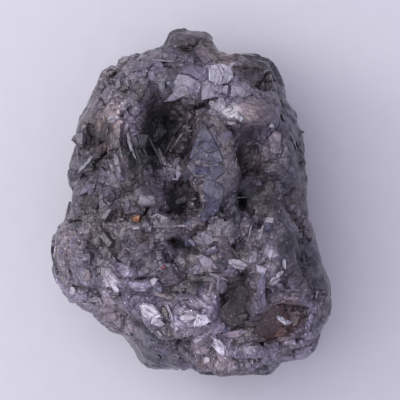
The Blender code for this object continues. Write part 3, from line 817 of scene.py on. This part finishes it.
def placed_crystals(data):
    """One object for each large crystal and named face, lying on the body's skin as it slopes there."""
    tree = BVHTree.FromPolygons(
        [vert.co[:] for vert in data.vertices], [face.vertices[:] for face in data.polygons]
    )
    family = bpy.data.collections.new("placed_crystals")
    for index, (name, row) in enumerate(CRYSTALS.items()):
        x, y, length, width, heading, end_rise, side_rise, over, tone, polish = row
        random = np.random.default_rng(SEED * 100 + index)
        outline = ragged_oval(length, width, random)
        turn = math.radians(heading)
        along = np.array((math.cos(turn), math.sin(turn)))
        aside = np.array((-along[1], along[0]))
        outline = outline[:, :1] * along + outline[:, 1:] * aside
        slope = np.tan(np.radians(end_rise * along + side_rise * aside))
        look = (tone, polish, turn)
        slab = lay_slab(tree, name, (x, y), outline, slope, 0.8 * over, look, BEVEL, CRYSTAL_PEAKS, random)
        family.objects.link(slab)
    for index, (name, (corners, lean, heading, over, tone, polish)) in enumerate(PANES.items()):
        random = np.random.default_rng(SEED * 200 + index)
        corners = np.array(corners)
        middle = corners.mean(axis=0)
        slope = np.tan(np.radians(lean))
        look = (tone, polish, math.radians(heading))
        corners -= middle
        slab = lay_slab(tree, name, middle, corners, slope, over, look, PANE_BEVEL, PANE_PEAKS, random)
        family.objects.link(slab)
    return family


# ---------------------------------------------------------------------------------------------------
# Node wiring
# ---------------------------------------------------------------------------------------------------


class Wiring:
    """The nodes and links of one tree, with short ways to add the usual nodes."""

    def __init__(self, tree):
        self.nodes = tree.nodes
        self.link = tree.links.new

    def feed(self, socket, value):
        if isinstance(value, (int, float, tuple)):
            socket.default_value = value
        else:
            self.link(value, socket)

    def math(self, operation, first, second):
        node = self.nodes.new("ShaderNodeMath")
        node.operation = operation
        self.feed(node.inputs[0], first)
        self.feed(node.inputs[1], second)
        return node.outputs[0]

    def times(self, first, second):
        return self.math("MULTIPLY", first, second)

    def plus(self, first, second):
        return self.math("ADD", first, second)

    def minus(self, first, second):
        return self.math("SUBTRACT", first, second)

    def vector(self, operation, first, second=None):
        node = self.nodes.new("ShaderNodeVectorMath")
        node.operation = operation
        self.feed(node.inputs[0], first)
        if second is not None:
            self.feed(node.inputs["Scale"] if operation == "SCALE" else node.inputs[1], second)
        return node.outputs[0]

    def ramp(self, value, low, high, to_low=0.0, to_high=1.0):
        node = self.nodes.new("ShaderNodeMapRange")
        for name, given in (
            ("Value", value), ("From Min", low), ("From Max", high), ("To Min", to_low), ("To Max", to_high)
        ):
            self.feed(node.inputs[name], given)
        return node.outputs["Result"]

    def noise(self, place, scale, detail=4.0, roughness=0.55, distortion=0.0):
        node = self.nodes.new("ShaderNodeTexNoise")
        for name, given in (
            ("Vector", place), ("Scale", scale), ("Detail", detail), ("Roughness", roughness),
            ("Distortion", distortion),
        ):
            self.feed(node.inputs[name], given)
        return node.outputs

    def mixed(self, factor, first, second):
        node = self.nodes.new("ShaderNodeMix")
        node.data_type = "RGBA"
        for socket, value in ((node.inputs[0], factor), (node.inputs[6], first), (node.inputs[7], second)):
            self.feed(socket, value)
        return node.outputs[2]

    def attribute(self, name):
        node = self.nodes.new("ShaderNodeAttribute")
        node.attribute_name = name
        return node.outputs


def new_group(name, kind, inputs, outputs):
    """A node group with its named sockets, and its wiring, what it is given and what it puts out."""
    group = bpy.data.node_groups.new(name, kind)
    for direction, sockets in (("INPUT", inputs), ("OUTPUT", outputs)):
        for label, kind_of_socket, *default in sockets:
            socket_type = f"NodeSocket{kind_of_socket}"
            socket = group.interface.new_socket(label, in_out=direction, socket_type=socket_type)
            if default:
                socket.default_value = default[0]
    wiring = Wiring(group)
    given = wiring.nodes.new("NodeGroupInput").outputs
    return group, wiring, given, wiring.nodes.new("NodeGroupOutput").inputs


# ---------------------------------------------------------------------------------------------------
# Sowing and joining, in Geometry Nodes
# ---------------------------------------------------------------------------------------------------

# Each sowing: family, attribute, crystals per square mm, smallest and largest (mm), lean (radians),
# how deep its middle is sunk as a share of its size, seed.
SOWINGS = {
    "broad plates": ("plates", "plates", 3.2, 0.40, 1.10, 0.20, 0.05, 3),
    "coarse grains": ("grains", "grains", 2.6, 0.28, 0.70, 0.5, 0.33, 7),
    "fine grains": ("grains", "grains", 2.0, 0.08, 0.20, 1.0, 0.27, 13),
    "splinters": ("splinters", "splinters", 5.0, 0.30, 0.90, 0.15, 0.03, 21),
}
PITS = ("grains", "plates", 1.5, 0.25, 0.60, 0.9, -0.25, 31)
FEW_LARGE = 2.2  # the higher, the more of the sown crystals are small
BARE_SKIN = 0.03  # share of the crystals that steep flanks still carry
BODY_POLISH = (0.40, 0.75, 0.80)  # on the open top, on the flanks and in the smooth places


def ready_for_sowing(data, facing):
    """Marks where the body carries grains, plates and splinters, and its own polish."""
    points = read_points(data)
    lower_half = 1 / (1 + np.exp((points[:, 1] + 0.4) / 0.5))
    open_skin = np.clip(1 - 1.4 * strength_of(points, SMOOTH_PLACES), 0, 1)
    open_skin *= BARE_SKIN + (1 - BARE_SKIN) * facing
    open_skin *= np.where(points[:, 2] < ROUGH_BELOW, 0.4, 1) * (points[:, 2] > 0.35)
    store(data, "grains", open_skin * (0.25 + 0.75 * lower_half), "POINT")
    store(data, "plates", open_skin * (1.0 - 0.4 * lower_half), "POINT")
    store(data, "splinters", open_skin * np.clip(2.5 * facing - 1.5, 0, 1) * (1 - lower_half), "POINT")
    faces = len(data.polygons)
    corners = read_vector(data.loops, "vertex_index", len(data.loops), 1).astype(int)
    corners = corners[read_vector(data.polygons, "loop_start", faces, 1).astype(int)]
    on_top, on_flanks, in_smooth_places = BODY_POLISH
    worn = on_top + (on_flanks - on_top) * (1 - facing[corners])
    worn += (in_smooth_places - worn) * strength_of(points, SMOOTH_PLACES)[corners]
    regions = np.array(RUNS)
    away = np.linalg.norm(points[corners, None, :2] - regions[None, :, :2], axis=2)
    store(data, "run", np.radians(regions[away.argmin(axis=1), 2]))
    store(data, "polish", worn)
    store(data, "shade", np.zeros(faces))
    store(data, "tint", np.zeros((faces, 4)))


def sowing_group():
    """Points on the skin by an attribute's density, each with a crystal, leaning and sunk a little."""
    inputs = (
        ("Skin", "Geometry"),
        ("Family", "Collection"),
        ("Where", "String", "grains"),
        ("Per Square Millimetre", "Float", 4.0),
        ("Smallest", "Float", 0.1),
        ("Largest", "Float", 0.5),
        ("Lean", "Float", 0.3),
        ("Sunk", "Float", 0.2),
        ("Seed", "Int", 1),
    )
    outputs = (("Crystals", "Geometry"),)
    group, wiring, given, out = new_group("sow crystals", "GeometryNodeTree", inputs, outputs)
    nodes, link = wiring.nodes, wiring.link
    where = nodes.new("GeometryNodeInputNamedAttribute")
    link(given["Where"], where.inputs["Name"])
    sow = nodes.new("GeometryNodeDistributePointsOnFaces")
    link(given["Skin"], sow.inputs["Mesh"])
    link(wiring.times(where.outputs["Attribute"], given["Per Square Millimetre"]), sow.inputs["Density"])
    link(given["Seed"], sow.inputs["Seed"])

    chance = nodes.new("FunctionNodeRandomValue")
    link(given["Seed"], chance.inputs["Seed"])
    size = wiring.ramp(
        wiring.math("POWER", chance.outputs[1], FEW_LARGE), 0.0, 1.0, given["Smallest"], given["Largest"]
    )
    turned = nodes.new("FunctionNodeRandomValue")
    turned.data_type = "FLOAT_VECTOR"
    link(given["Seed"], turned.inputs["Seed"])
    for limit, way in (("Min", -1.0), ("Max", 1.0)):
        turn = nodes.new("ShaderNodeCombineXYZ")
        lean = wiring.times(given["Lean"], way)
        link(lean, turn.inputs["X"])
        link(lean, turn.inputs["Y"])
        turn.inputs["Z"].default_value = way * math.pi
        link(turn.outputs[0], turned.inputs[limit])

    crystals = nodes.new("GeometryNodeCollectionInfo")
    crystals.inputs["Separate Children"].default_value = True
    crystals.inputs["Reset Children"].default_value = True
    link(given["Family"], crystals.inputs["Collection"])
    place = nodes.new("GeometryNodeInstanceOnPoints")
    place.inputs["Pick Instance"].default_value = True
    link(sow.outputs["Points"], place.inputs["Points"])
    link(crystals.outputs[0], place.inputs["Instance"])
    link(sow.outputs["Rotation"], place.inputs["Rotation"])
    link(size, place.inputs["Scale"])

    down = nodes.new("ShaderNodeCombineXYZ")
    link(wiring.times(given["Sunk"], -1.0), down.inputs["Z"])
    sink = nodes.new("GeometryNodeTranslateInstances")
    link(place.outputs[0], sink.inputs["Instances"])
    link(down.outputs[0], sink.inputs["Translation"])
    lean = nodes.new("GeometryNodeRotateInstances")
    link(sink.outputs[0], lean.inputs["Instances"])
    link(turned.outputs[0], lean.inputs["Rotation"])
    link(lean.outputs[0], out["Crystals"])
    return group


def grow_crystals(body, material):
    """The body with everything sown and placed on it, joined as one closed mesh."""
    families = {kind: crystal_family(kind) for kind in KINDS}
    placed = placed_crystals(body)
    sowing = sowing_group()
    inputs = (("Body", "Geometry"), ("Material", "Material"))
    outputs = (("Stone", "Geometry"),)
    group, wiring, given, out = new_group("crystal skin", "GeometryNodeTree", inputs, outputs)
    nodes, link = wiring.nodes, wiring.link

    def sown(row):
        family, *settings = row
        node = nodes.new("GeometryNodeGroup")
        node.node_tree = sowing
        node.inputs["Family"].default_value = families[family]
        names = ("Where", "Per Square Millimetre", "Smallest", "Largest", "Lean", "Sunk", "Seed")
        for name, setting in zip(names, settings):
            node.inputs[name].default_value = setting
        link(given["Body"], node.inputs["Skin"])
        return node.outputs["Crystals"]

    def boolean(operation, *meshes):
        node = nodes.new("GeometryNodeMeshBoolean")
        node.operation = operation
        node.solver = "MANIFOLD"
        if operation == "DIFFERENCE":
            first, *meshes = meshes
            link(first, node.inputs["Mesh 1"])
        for mesh in meshes:
            link(mesh, node.inputs["Mesh 2"])
        return node.outputs["Mesh"]

    covered = boolean("UNION", given["Body"], *(sown(row) for row in SOWINGS.values()))
    pitted = boolean("DIFFERENCE", covered, sown(PITS))
    large = nodes.new("GeometryNodeCollectionInfo")
    large.inputs["Collection"].default_value = placed
    large.inputs["Separate Children"].default_value = True
    real = nodes.new("GeometryNodeRealizeInstances")
    link(boolean("UNION", pitted, large.outputs[0]), real.inputs[0])
    dress = nodes.new("GeometryNodeSetMaterial")
    link(real.outputs[0], dress.inputs["Geometry"])
    link(given["Material"], dress.inputs["Material"])
    link(dress.outputs[0], out["Stone"])

    helper = bpy.data.objects.new("growing_stone", body)
    bpy.context.scene.collection.objects.link(helper)
    grow = helper.modifiers.new("crystal_skin", "NODES")
    grow.node_group = group
    sockets = {item.name: item.identifier for item in group.interface.items_tree if item.in_out == "INPUT"}
    grow[sockets["Material"]] = material
    grown = helper.evaluated_get(bpy.context.evaluated_depsgraph_get())
    stone = bpy.data.meshes.new_from_object(grown)
    clear_helpers(helper)
    for family in (*families.values(), placed):
        clear_helpers(*family.objects)
        bpy.data.collections.remove(family)
    return stone


# ---------------------------------------------------------------------------------------------------
# The finished skin, and what it carries for its material
# ---------------------------------------------------------------------------------------------------

# The shelter measure below is painted as shade into the base colour.
SHELTER_CELL = 0.12  # mm: the grid on which the skin's highest points are kept
SHELTER_SPREAD = 5  # turns that spread those heights over their neighbours
SHELTER_FULL = 0.55  # mm under its surroundings at which a point is wholly sheltered
FOOT_ROOM = 0.00012  # what lies this near the table lies on it
FLAT_WITHIN = math.radians(0.05)  # faces of the foot that lean less than this against each other are one
CRISP_FROM = math.radians(14)  # edges that turn more than this stay crisp


def shelter(points):
    """How far each point of the upper side lies under what stands around it, from 0 to 1, for painted shade.
    """
    low = points[:, :2].min(axis=0)
    cells = np.floor((points[:, :2] - low) / SHELTER_CELL).astype(int)
    tops = np.full(cells.max(axis=0) + 1, -1.0)
    np.maximum.at(tops, (cells[:, 0], cells[:, 1]), points[:, 2])
    rows, columns = tops.shape
    for _ in range(SHELTER_SPREAD):
        padded = np.pad(tops, 1, mode="edge")
        around = [padded[i : rows + i, j : columns + j] for i in range(3) for j in range(3)]
        tops = np.maximum(tops, np.mean(around, axis=0))
    under = tops[cells[:, 0], cells[:, 1]] - points[:, 2]
    return np.clip(under / SHELTER_FULL, 0, 1)


def tone_and_painted_light_at(points):
    """The tone and painted light of the nearest places, blended, on the upper side, and 1 elsewhere."""
    weight_sum = np.full(len(points), USUAL_WEIGHT)
    lightness = weight_sum.copy()
    for x, y, amount in TONE_AND_PAINTED_LIGHT:
        away = np.hypot(points[:, 0] - x, points[:, 1] - y) / TONE_AND_PAINTED_LIGHT_REACH
        weight = np.exp(-away * away) * np.clip(points[:, 2] - UPPER_FROM, 0, 1)
        weight_sum += weight
        lightness += weight * amount
    return lightness / weight_sum


def mark_skin(data):
    """Stains, painted shade under shelter and in hollows, and tone and painted light, as mesh attributes in
    mm.
    """
    points = read_points(data)
    colour = np.zeros((len(points), 4))
    stains_and_shade = (*DULL_SURROUNDINGS, *PAINTED_SHADE_GAPS, *STAINS_AND_SHADE.values())
    for x, y, half_length, half_width, heading, tone, strength in stains_and_shade:
        amount = strength * patch(points, x, y, half_length, half_width, heading)[:, None]
        colour[:, :3] = colour[:, :3] * (1 - amount) + np.array(TONES[tone]) * amount
        colour[:, 3:] = colour[:, 3:] * (1 - amount) + amount
    store(data, "stain", colour, "POINT")
    store(data, "shelter", shelter(points), "POINT")
    store(data, "gloom", strength_of(points, PAINTED_GLOOM), "POINT")
    store(data, "lightness", tone_and_painted_light_at(points), "POINT")


def drop_crumbs(data):
    """Leaves only the largest connected piece of the mesh."""
    count = len(data.vertices)
    ends = read_vector(data.edges, "vertices", len(data.edges), 2).astype(int)
    label = np.arange(count)
    while True:
        lowest = np.minimum(label[ends[:, 0]], label[ends[:, 1]])
        before = label.copy()
        np.minimum.at(label, ends[:, 0], lowest)
        np.minimum.at(label, ends[:, 1], lowest)
        label = label[label]
        if (label == before).all():
            break
    main = np.bincount(label).argmax()
    mesh = bmesh.new()
    mesh.from_mesh(data)
    mesh.verts.ensure_lookup_table()
    crumbs = [mesh.verts[index] for index in np.flatnonzero(label != main)]
    bmesh.ops.delete(mesh, geom=crumbs, context="VERTS")
    mesh.to_mesh(data)
    mesh.free()


def merge_foot(data):
    """Merges the many faces that lie flat on the table into a few large ones."""
    mesh = bmesh.new()
    mesh.from_mesh(data)
    low = min(vert.co.z for vert in mesh.verts)
    flat = {face for face in mesh.faces if all(vert.co.z == low for vert in face.verts)}
    inner = [edge for edge in mesh.edges if all(face in flat for face in edge.link_faces)]
    ends = [vert for vert in mesh.verts if all(face in flat for face in vert.link_faces)]
    bmesh.ops.dissolve_limit(mesh, angle_limit=FLAT_WITHIN, verts=ends, edges=inner)
    mesh.to_mesh(data)
    mesh.free()


def finish_stone(data, material):
    """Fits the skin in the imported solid's box, in metres, and names it."""
    drop_crumbs(data)
    mark_skin(data)
    points = read_points(data) * MM
    low, high = (np.array(corner) for corner in CAD_BOX)
    points[points[:, 2] < low[2] + FOOT_ROOM, 2] = low[2]
    move_points(data, np.clip(points, low, high))
    merge_foot(data)
    data.update()
    data.polygons.foreach_set("use_smooth", np.ones(len(data.polygons), bool))
    data.set_sharp_from_angle(angle=CRISP_FROM)
    data.name = "diamond_skin"
    data.materials.clear()
    data.materials.append(material)
    stone = bpy.data.objects.new("diamond_skin", data)
    bpy.context.scene.collection.objects.link(stone)
    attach(stone, "root")
    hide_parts("rough_diamond")


# ---------------------------------------------------------------------------------------------------
# The material
# ---------------------------------------------------------------------------------------------------

# Two sizes of broken cells: cells per metre, streaks per metre, and how far a wholly rough cell tilts.
CELL_LAYERS = ((1900.0, 13000.0, 0.9), (7000.0, 22000.0, 0.85))
CELL_WANDER = 0.00018  # how far the cells' borders wander
STREAK_ASTRAY = 0.9  # radians between the streaks of one cell and another, at most
STREAK_SHAPE = (0.11, 1.0, 0.5)  # streaks are drawn out along their run
SEAM_WIDTH = 0.09  # of a crack between two cells, as a share of a cell
SUGAR_SCALE = 12000.0
SPARKLE_SCALE = 13000.0
PATCH_SCALE = 500.0
FROST_SCALE = 2600.0
STEP_SCALE = 9000.0
OVERALL = 0.95


def facet_group():
    """Breaks the skin into small cells, each with its own tilt, shade and run of streaks."""
    inputs = (
        ("Place", "Vector"),
        ("Cells Per Metre", "Float", 5000.0),
        ("Streaks Per Metre", "Float", 9000.0),
        ("Run", "Float", 0.0),
        ("Tilt", "Float", 0.3),
        ("Normal", "Vector"),
    )
    outputs = (("Normal", "Vector"), ("Cell Shade", "Float"), ("Streak", "Float"), ("Seam", "Float"))
    group, wiring, given, out = new_group("hackly cells", "ShaderNodeTree", inputs, outputs)
    nodes, link, vector = wiring.nodes, wiring.link, wiring.vector
    half = (0.5, 0.5, 0.5)

    wander = wiring.noise(given["Place"], given["Cells Per Metre"], detail=1.0, roughness=0.5)
    pushed = vector("SCALE", vector("SUBTRACT", wander["Color"], half), CELL_WANDER)
    warped = vector("ADD", given["Place"], pushed)
    cells = nodes.new("ShaderNodeTexVoronoi")
    edges = nodes.new("ShaderNodeTexVoronoi")
    edges.feature = "DISTANCE_TO_EDGE"
    for node in (cells, edges):
        link(warped, node.inputs["Vector"])
        link(given["Cells Per Metre"], node.inputs["Scale"])
    tilted = vector("SCALE", vector("SUBTRACT", cells.outputs["Color"], half), given["Tilt"])
    link(vector("NORMALIZE", vector("ADD", given["Normal"], tilted)), out["Normal"])
    split = nodes.new("ShaderNodeSeparateColor")
    link(cells.outputs["Color"], split.inputs[0])
    link(split.outputs[0], out["Cell Shade"])

    astray = wiring.times(wiring.minus(split.outputs[1], 0.5), STREAK_ASTRAY)
    turned = nodes.new("ShaderNodeVectorRotate")
    turned.rotation_type = "Z_AXIS"
    link(warped, turned.inputs["Vector"])
    link(wiring.minus(astray, given["Run"]), turned.inputs["Angle"])
    drawn_out = vector("MULTIPLY", turned.outputs[0], STREAK_SHAPE)
    streaks = wiring.noise(drawn_out, given["Streaks Per Metre"], detail=3.0, roughness=0.6)
    link(streaks[0], out["Streak"])

    seam = nodes.new("ShaderNodeMapRange")
    seam.interpolation_type = "SMOOTHSTEP"
    link(edges.outputs["Distance"], seam.inputs["Value"])
    seam.inputs["From Max"].default_value = SEAM_WIDTH
    seam.inputs["To Min"].default_value = 1.0
    seam.inputs["To Max"].default_value = 0.0
    link(seam.outputs["Result"], out["Seam"])
    return group


def diamond_material():
    material = bpy.data.materials.new("dark_diamond")
    material.use_nodes = True
    wiring = Wiring(material.node_tree)
    nodes, link = wiring.nodes, wiring.link
    times, plus, minus = wiring.times, wiring.plus, wiring.minus
    ramp, noise, mixed = wiring.ramp, wiring.noise, wiring.mixed
    shader = nodes["Principled BSDF"]
    place = nodes.new("ShaderNodeTexCoord").outputs["Object"]
    shade, polish, run, gloom, painted_shelter_shade, lightness = (
        wiring.attribute(name)["Fac"] for name in ("shade", "polish", "run", "gloom", "shelter", "lightness")
    )
    tint = wiring.attribute("tint")
    stain = wiring.attribute("stain")

    # The cells are tilted more where the skin is rough and not at all where it is polished.
    rough_share = minus(1.0, polish)
    unevenness = wiring.math("POWER", rough_share, 1.5)
    kind = facet_group()
    normal = nodes.new("ShaderNodeNewGeometry").outputs["Normal"]
    layers = []
    for cells, streaks, tilt in CELL_LAYERS:
        layer = nodes.new("ShaderNodeGroup")
        layer.node_tree = kind
        for name, value in (
            ("Cells Per Metre", cells), ("Streaks Per Metre", streaks), ("Place", place), ("Run", run),
            ("Normal", normal), ("Tilt", times(unevenness, tilt)),
        ):
            wiring.feed(layer.inputs[name], value)
        normal = layer.outputs["Normal"]
        layers.append(layer.outputs)
    broad, small = layers

    # Colour: dark glass with paler cells and streaks in it, patchy towards brown, then the stains with
    # painted shade, the tints, and painted sparkles.
    sugar = noise(place, SUGAR_SCALE, detail=3.0, roughness=0.6)[0]
    paleness = plus(times(broad["Cell Shade"], 0.40), times(small["Cell Shade"], 0.20))
    for part, share in ((broad["Streak"], 1.1), (sugar, 0.8), (shade, 0.14)):
        paleness = plus(paleness, times(part, share))
    paleness = ramp(paleness, 0.92, 1.72)
    patchy = ramp(noise(place, PATCH_SCALE)[0], 0.42, 0.58)
    grey = mixed(paleness, mixed(patchy, *DARK_GLASS), mixed(patchy, *PALE_GLASS))
    streaky = ramp(paleness, 0.0, 1.0, 0.58, 1.40)
    stained_and_shaded = mixed(stain["Alpha"], grey, wiring.vector("SCALE", stain["Color"], streaky))
    own = mixed(tint["Alpha"], stained_and_shaded, wiring.vector("SCALE", tint["Color"], streaky))
    # Painted sparkles: bright specks that stand in for glints, none in the painted shade
    painted_sparkles = ramp(noise(place, SPARKLE_SCALE, detail=1.0)[0], 0.66, 0.76, 0.0, 0.75)
    own = mixed(times(painted_sparkles, minus(1.0, gloom)), own, PAINTED_SPARKLES)

    # Base colour: darker in the seams and between streaks, painted shade under shelter and in the hollows.
    seams = plus(times(broad["Seam"], 0.45), times(small["Seam"], 0.25))
    seams = times(seams, ramp(polish, 0.5, 1.0, 1.0, 0.25))
    cover = times(wiring.math("MAXIMUM", painted_shelter_shade, gloom), 1.6)
    buried = minus(cover, ramp(broad["Streak"], 0.48, 0.66, 0.25, 1.1))
    buried = minus(buried, times(tint["Alpha"], 0.5))
    level = times(minus(1.0, seams), ramp(buried, 0.0, 1.0, 1.0, 0.19))
    level = times(level, ramp(broad["Streak"], 0.36, 0.44, 0.55, 1.0))
    # The places' own tone and painted light and shade, which tinted crystals are partly spared
    spared = times(tint["Alpha"], 0.6)
    lightness = plus(times(lightness, minus(1.0, spared)), spared)
    level = times(level, times(lightness, OVERALL))
    link(wiring.vector("SCALE", own, level), shader.inputs["Base Color"])

    # Gloss: polished faces, frosted grains between them, and nothing left to shine in the hollows.
    frost = ramp(noise(place, FROST_SCALE)[0], 0.3, 0.7, 0.08, 0.24)
    rough = plus(times(rough_share, 0.30), frost)
    link(plus(rough, times(gloom, 0.45)), shader.inputs["Roughness"])
    shader.inputs["IOR"].default_value = 1.8

    # Fine growth steps and scratches on every facet, along the streaks.
    steps = noise(place, STEP_SCALE, roughness=0.7, distortion=0.6)[0]
    relief = plus(times(broad["Streak"], 1.6), plus(small["Streak"], times(steps, 0.6)))
    bump = nodes.new("ShaderNodeBump")
    bump.inputs["Strength"].default_value = 0.30
    bump.inputs["Distance"].default_value = 0.00004
    link(relief, bump.inputs["Height"])
    link(normal, bump.inputs["Normal"])
    link(bump.outputs["Normal"], shader.inputs["Normal"])
    return material


# ---------------------------------------------------------------------------------------------------
# The table, the light and the camera
# ---------------------------------------------------------------------------------------------------

TABLE_SIDE = 0.6
TABLE_DROP = 0.00002  # gap under the stone
CARD = ((0.740, 0.748, 0.746, 1), (0.760, 0.768, 0.766, 1))
ROOM_LIGHT = (0.735, 0.688, 0.950, 1)
SOFTBOX_LIGHT = (0.985, 0.955, 1.0)
LAMP_LIGHT = (0.97, 0.97, 1.0)


def table():
    """A pale lavender sheet of card under the stone."""
    mesh = bmesh.new()
    bmesh.ops.create_grid(mesh, x_segments=1, y_segments=1, size=TABLE_SIDE / 2)
    bmesh.ops.translate(mesh, verts=mesh.verts[:], vec=(0, 0, CAD_BOX[0][2] - TABLE_DROP))
    data = bpy.data.meshes.new("table")
    mesh.to_mesh(data)
    mesh.free()
    floor = bpy.data.objects.new("table", data)
    bpy.context.scene.collection.objects.link(floor)
    material = bpy.data.materials.new("pale_card")
    material.use_nodes = True
    wiring = Wiring(material.node_tree)
    shader = wiring.nodes["Principled BSDF"]
    fibres = wiring.noise(wiring.nodes.new("ShaderNodeTexCoord").outputs["Object"], 1500.0)[0]
    wiring.link(wiring.mixed(wiring.ramp(fibres, 0.3, 0.7), *CARD), shader.inputs["Base Color"])
    shader.inputs["Roughness"].default_value = 0.75
    shader.inputs["IOR"].default_value = 1.3
    data.materials.append(material)


def softbox(name, place, target, size, radiance, colour):
    """A square light whose surface shines with the given radiance."""
    light = bpy.data.lights.new(name, "AREA")
    light.shape = "SQUARE"
    light.size = size
    light.energy = radiance * math.pi * size * size
    light.color = colour
    lamp = bpy.data.objects.new(name, light)
    bpy.context.scene.collection.objects.link(lamp)
    lamp.location = place
    lamp.rotation_euler = (Vector(target) - Vector(place)).to_track_quat("-Z", "Y").to_euler()


def studio():
    """A large softbox overhead to the left, a small lamp low on the left, and a pale violet room."""
    middle = (0, 0, CAD_BOX[1][2] / 2)
    softbox("overhead_softbox", (-0.064, 0.018, 0.145), middle, 0.160, 1.62, SOFTBOX_LIGHT)
    softbox("left_lamp", (-0.034, 0.012, 0.034), middle, 0.014, 6.0, LAMP_LIGHT)
    world = bpy.data.worlds.new("room")
    bpy.context.scene.world = world
    world.use_nodes = True
    background = world.node_tree.nodes["Background"]
    background.inputs["Color"].default_value = ROOM_LIGHT
    background.inputs["Strength"].default_value = 0.66


def camera():
    """Straight above the stone, from far enough to see it almost without perspective."""
    lens = bpy.data.cameras.new("camera")
    lens.lens = 180
    lens.sensor_width = 36
    lens.clip_start = 0.001
    view = bpy.data.objects.new("camera", lens)
    bpy.context.scene.collection.objects.link(view)
    view.location = (0.0003, 0.00007, 0.0727)
    bpy.context.scene.camera = view


skin = body_mesh()
ready_for_sowing(skin, shape_body(skin))
dark_diamond = diamond_material()
finish_stone(grow_crystals(skin, dark_diamond), dark_diamond)
table()
studio()
camera()
bpy.context.scene.view_settings.view_transform = "Standard"

bpy.context.view_layer.update()
